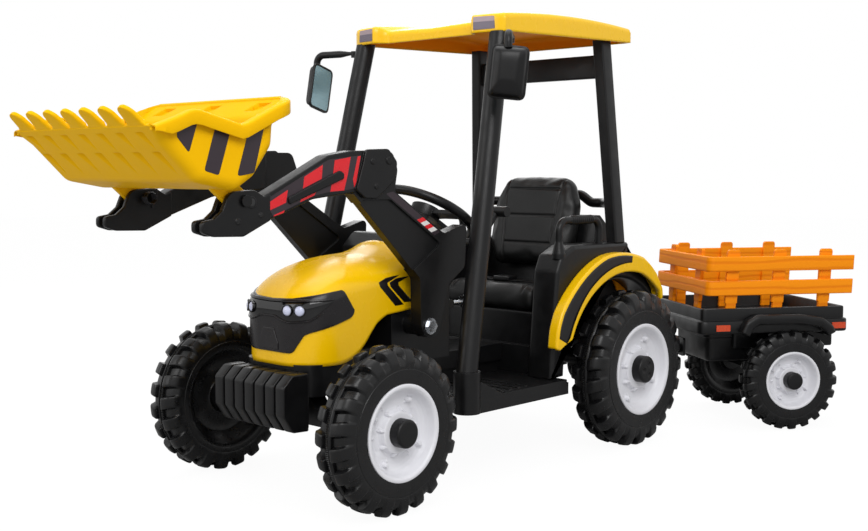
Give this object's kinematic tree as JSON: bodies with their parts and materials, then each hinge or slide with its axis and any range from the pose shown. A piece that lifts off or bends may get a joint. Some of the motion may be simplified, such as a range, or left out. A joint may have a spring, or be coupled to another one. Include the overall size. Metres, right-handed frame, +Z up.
{
  "type": "ride on tractor toy",
  "caption": "Battery ride on tractor toy with a roof on posts, swivelling mirrors, a hand-lever front loader with a toothed bucket, and a hitched trailer with slatted sides.",
  "frame": {"origin": "on the ground under the middle of the whole footprint, tractor and yawed trailer together", "axes": "+Y to the tractor's rear, +X to its left, +Z up"},
  "size_m": [0.957, 2.1384, 1.028],
  "materials": {
    "tyre_plastic": "satin blow-moulded black",
    "rim_plastic": "satin pale grey",
    "black_plastic": "fine satin grain",
    "gloss_black_plastic": "gloss",
    "yellow_plastic": "gloss",
    "fence_plastic": "moulded wood grain",
    "seat_plastic": "soft leather grain",
    "webbing": "woven",
    "steel": "zinc plated",
    "red_plastic": "gloss",
    "lens": "clear moulded lens",
    "mirror_face": "foil mirror"
  },
  "bodies": {
    "tractor": {"chassis": "black_plastic", "footwell": "black_plastic", "hood": "yellow_plastic", "grille_mask": "gloss_black_plastic", "headlights": "lens", "front_weights": "black_plastic", "dashboard": "black_plastic", "rear_body": "black_plastic", "seat_cushion": "seat_plastic", "seat_back": "seat_plastic", "seat_belt": "webbing", "fenders": "yellow_plastic", "grab_handles": "black_plastic", "front_posts": "black_plastic", "rear_post_frame": "black_plastic", "roof": "yellow_plastic", "roof_lamps": "lens", "rear_axle": "steel", "drive_motors": "black_plastic", "battery": "black_plastic"},
    "left_steer": {"left_knuckle": "steel"},
    "right_steer": {"right_knuckle": "steel"},
    "front_left_wheel": {"front_left_tyre": "tyre_plastic", "front_left_rim": "rim_plastic", "front_left_hub_cap": "black_plastic"},
    "front_right_wheel": {"front_right_tyre": "tyre_plastic", "front_right_rim": "rim_plastic", "front_right_hub_cap": "black_plastic"},
    "rear_left_wheel": {"rear_left_tyre": "tyre_plastic", "rear_left_rim": "rim_plastic", "rear_left_hub_cap": "black_plastic"},
    "rear_right_wheel": {"rear_right_tyre": "tyre_plastic", "rear_right_rim": "rim_plastic", "rear_right_hub_cap": "black_plastic"},
    "tie_bar": {"tie_rod": "steel"},
    "steering": {"steering_wheel": "black_plastic", "steering_shaft": "steel"},
    "button": {"start_button": "red_plastic"},
    "lever": {"direction_lever": "steel"},
    "pedal": {"accelerator_pedal": "black_plastic"},
    "mirror_left": {"left_mirror": "black_plastic", "left_mirror_glass": "mirror_face"},
    "mirror_right": {"right_mirror": "black_plastic", "right_mirror_glass": "mirror_face"},
    "loader": {"loader_arm_fronts": "black_plastic", "loader_arm_rears": "black_plastic", "loader_pivot_shaft": "steel", "loader_lever": "black_plastic", "bucket_pins": "steel", "bucket_springs": "steel"},
    "bucket": {"bucket": "yellow_plastic"},
    "trailer": {"trailer_bed": "black_plastic", "trailer_chassis": "black_plastic", "fence_front": "fence_plastic", "fence_sides": "fence_plastic", "trailer_reflectors": "red_plastic"},
    "trailer_left_wheel": {"trailer_left_tyre": "tyre_plastic", "trailer_left_rim": "rim_plastic"},
    "trailer_right_wheel": {"trailer_right_tyre": "tyre_plastic", "trailer_right_rim": "rim_plastic"}
  },
  "joints": [
    {"name": "steering_turn", "type": "hinge", "parent": "tractor", "child": "steering", "pos_m": [-0.1006, -0.15024, 0.572], "axis": [0, 0.5, 0.866], "range_deg": [-50, 50]},
    {"name": "left_steer_turn", "type": "hinge", "parent": "tractor", "child": "left_steer", "pos_m": [0.09939, -0.53724, 0.1665], "axis": [0, 0, 1], "range_deg": [-22, 22]},
    {"name": "right_steer_turn", "type": "hinge", "parent": "tractor", "child": "right_steer", "pos_m": [-0.30061, -0.53724, 0.1665], "axis": [0, 0, 1], "range_deg": [-22, 22]},
    {"name": "tie_rod_slide", "type": "slide", "parent": "tractor", "child": "tie_bar", "axis": [1, 0, 0], "range_m": [-0.0232, 0.0232]},
    {"name": "front_left_roll", "type": "hinge", "parent": "left_steer", "child": "front_left_wheel", "pos_m": [0.17259, -0.53724, 0.1665], "axis": [1, 0, 0], "continuous": true},
    {"name": "front_right_roll", "type": "hinge", "parent": "right_steer", "child": "front_right_wheel", "pos_m": [-0.3738, -0.53724, 0.1665], "axis": [1, 0, 0], "continuous": true},
    {"name": "rear_left_roll", "type": "hinge", "parent": "tractor", "child": "rear_left_wheel", "pos_m": [0.16839, 0.28976, 0.19], "axis": [1, 0, 0], "continuous": true},
    {"name": "rear_right_roll", "type": "hinge", "parent": "tractor", "child": "rear_right_wheel", "pos_m": [-0.36961, 0.28976, 0.19], "axis": [1, 0, 0], "continuous": true},
    {"name": "button_press", "type": "slide", "parent": "tractor", "child": "button", "axis": [0, -1, 0], "range_m": [0, 0.0018], "stiffness_N_per_m": 400, "springref_m": -0.001},
    {"name": "lever_throw", "type": "hinge", "parent": "tractor", "child": "lever", "pos_m": [-0.0086, -0.17424, 0.372], "axis": [1, 0, 0], "range_deg": [-15, 15]},
    {"name": "pedal_press", "type": "hinge", "parent": "tractor", "child": "pedal", "pos_m": [-0.2246, -0.11524, 0.199], "axis": [1, 0, 0], "range_deg": [0, 12], "stiffness_Nm_per_rad": 3, "springref_deg": -5.73},
    {"name": "left_mirror_swivel", "type": "hinge", "parent": "tractor", "child": "mirror_left", "pos_m": [0.1471, -0.14023, 0.956], "axis": [0, 0, 1], "range_deg": [-20, 30]},
    {"name": "right_mirror_swivel", "type": "hinge", "parent": "tractor", "child": "mirror_right", "pos_m": [-0.34831, -0.14023, 0.956], "axis": [0, 0, 1], "range_deg": [-30, 20]},
    {"name": "loader_lift", "type": "hinge", "parent": "tractor", "child": "loader", "pos_m": [-0.1006, -0.31624, 0.341], "axis": [1, 0, 0], "range_deg": [-4, 50]},
    {"name": "bucket_tip", "type": "hinge", "parent": "loader", "child": "bucket", "pos_m": [-0.1006, -0.80524, 0.617], "axis": [1, 0, 0], "range_deg": [0, 25], "stiffness_Nm_per_rad": 8, "springref_deg": -20.05},
    {"name": "hitch_turn", "type": "hinge", "parent": "tractor", "child": "trailer", "pos_m": [-0.1006, 0.34476, 0.195], "axis": [0, 0, 1], "range_deg": [-5, 75]},
    {"name": "trailer_left_roll", "type": "hinge", "parent": "trailer", "child": "trailer_left_wheel", "pos_m": [0.37378, 0.72064, 0.13], "axis": [0.8192, -0.5736, 0], "continuous": true},
    {"name": "trailer_right_roll", "type": "hinge", "parent": "trailer", "child": "trailer_right_wheel", "pos_m": [0.09036, 0.9191, 0.13], "axis": [0.8192, -0.5736, 0], "continuous": true}
  ],
  "couplings": [
    {"joint": "left_steer_turn", "follows": "steering_turn", "ratio": 0.44},
    {"joint": "right_steer_turn", "follows": "steering_turn", "ratio": 0.44},
    {"joint": "tie_rod_slide", "follows": "steering_turn", "m_per_rad": -0.0264}
  ]
}
